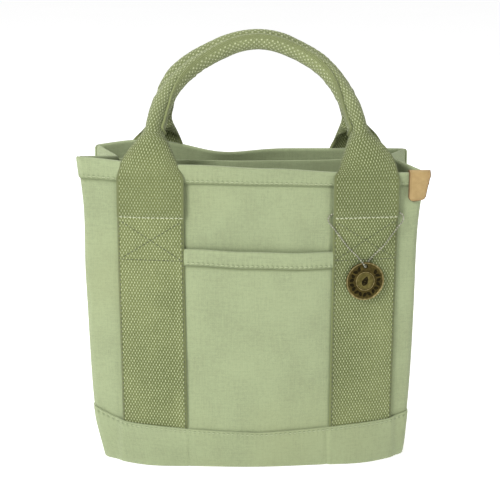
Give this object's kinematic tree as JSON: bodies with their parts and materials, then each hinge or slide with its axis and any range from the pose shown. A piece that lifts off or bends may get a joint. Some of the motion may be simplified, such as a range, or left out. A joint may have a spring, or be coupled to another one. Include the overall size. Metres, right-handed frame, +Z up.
{
  "type": "garden tool bag",
  "caption": "Open canvas tool bag with a centre divider, a front pocket, folding webbing handles, a leather tab and a brass tag on a ball chain.",
  "frame": {"origin": "centre of the base, on the surface the bag stands on", "axes": "+Z up; the front, with the pocket and the tag, faces -Y; +X is to the right seen from the front"},
  "size_m": [0.2668, 0.1212, 0.3281],
  "materials": {
    "canvas": "matt cotton canvas",
    "webbing": "coarse cotton webbing",
    "leather": "natural tan",
    "antique_brass": "antiqued",
    "chain_steel": "polished"
  },
  "bodies": {
    "bag": {"front_panel": "canvas", "rear_panel": "canvas", "left_gusset": "canvas", "right_gusset": "canvas", "base_panel": "canvas", "centre_divider": "canvas", "front_rim_facing": "canvas", "rear_rim_facing": "canvas", "left_rim_facing": "canvas", "right_rim_facing": "canvas", "front_base_band": "canvas", "rear_base_band": "canvas", "left_base_band": "canvas", "right_base_band": "canvas", "front_pocket": "canvas", "front_pocket_hem": "canvas", "front_left_strap": "webbing", "front_right_strap": "webbing", "rear_left_strap": "webbing", "rear_right_strap": "webbing", "leather_tab": "leather"},
    "front_grip": {"front_handle": "webbing"},
    "rear_grip": {"rear_handle": "webbing"},
    "chain_loop": {"tag_chain": "chain_steel", "chain_clasp": "chain_steel"},
    "tag": {"tag_disc": "antique_brass"}
  },
  "joints": [
    {"name": "front_handle_fold", "type": "hinge", "parent": "bag", "child": "front_grip", "pos_m": [0, -0.046, 0.1934], "axis": [1, 0, 0], "range_deg": [0, 120]},
    {"name": "rear_handle_fold", "type": "hinge", "parent": "bag", "child": "rear_grip", "pos_m": [0, 0.046, 0.1934], "axis": [-1, 0, 0], "range_deg": [0, 160]},
    {"name": "tag_swing", "type": "hinge", "parent": "bag", "child": "chain_loop", "pos_m": [0.08098, -0.0396, 0.1949], "axis": [-0.9942, -0.108, 0], "range_deg": [0, 30]},
    {"name": "disc_swing", "type": "hinge", "parent": "chain_loop", "child": "tag", "pos_m": [0.08077, -0.04262, 0.1555], "axis": [0.1426, -0.9898, 0], "range_deg": [-30, 30]}
  ]
}
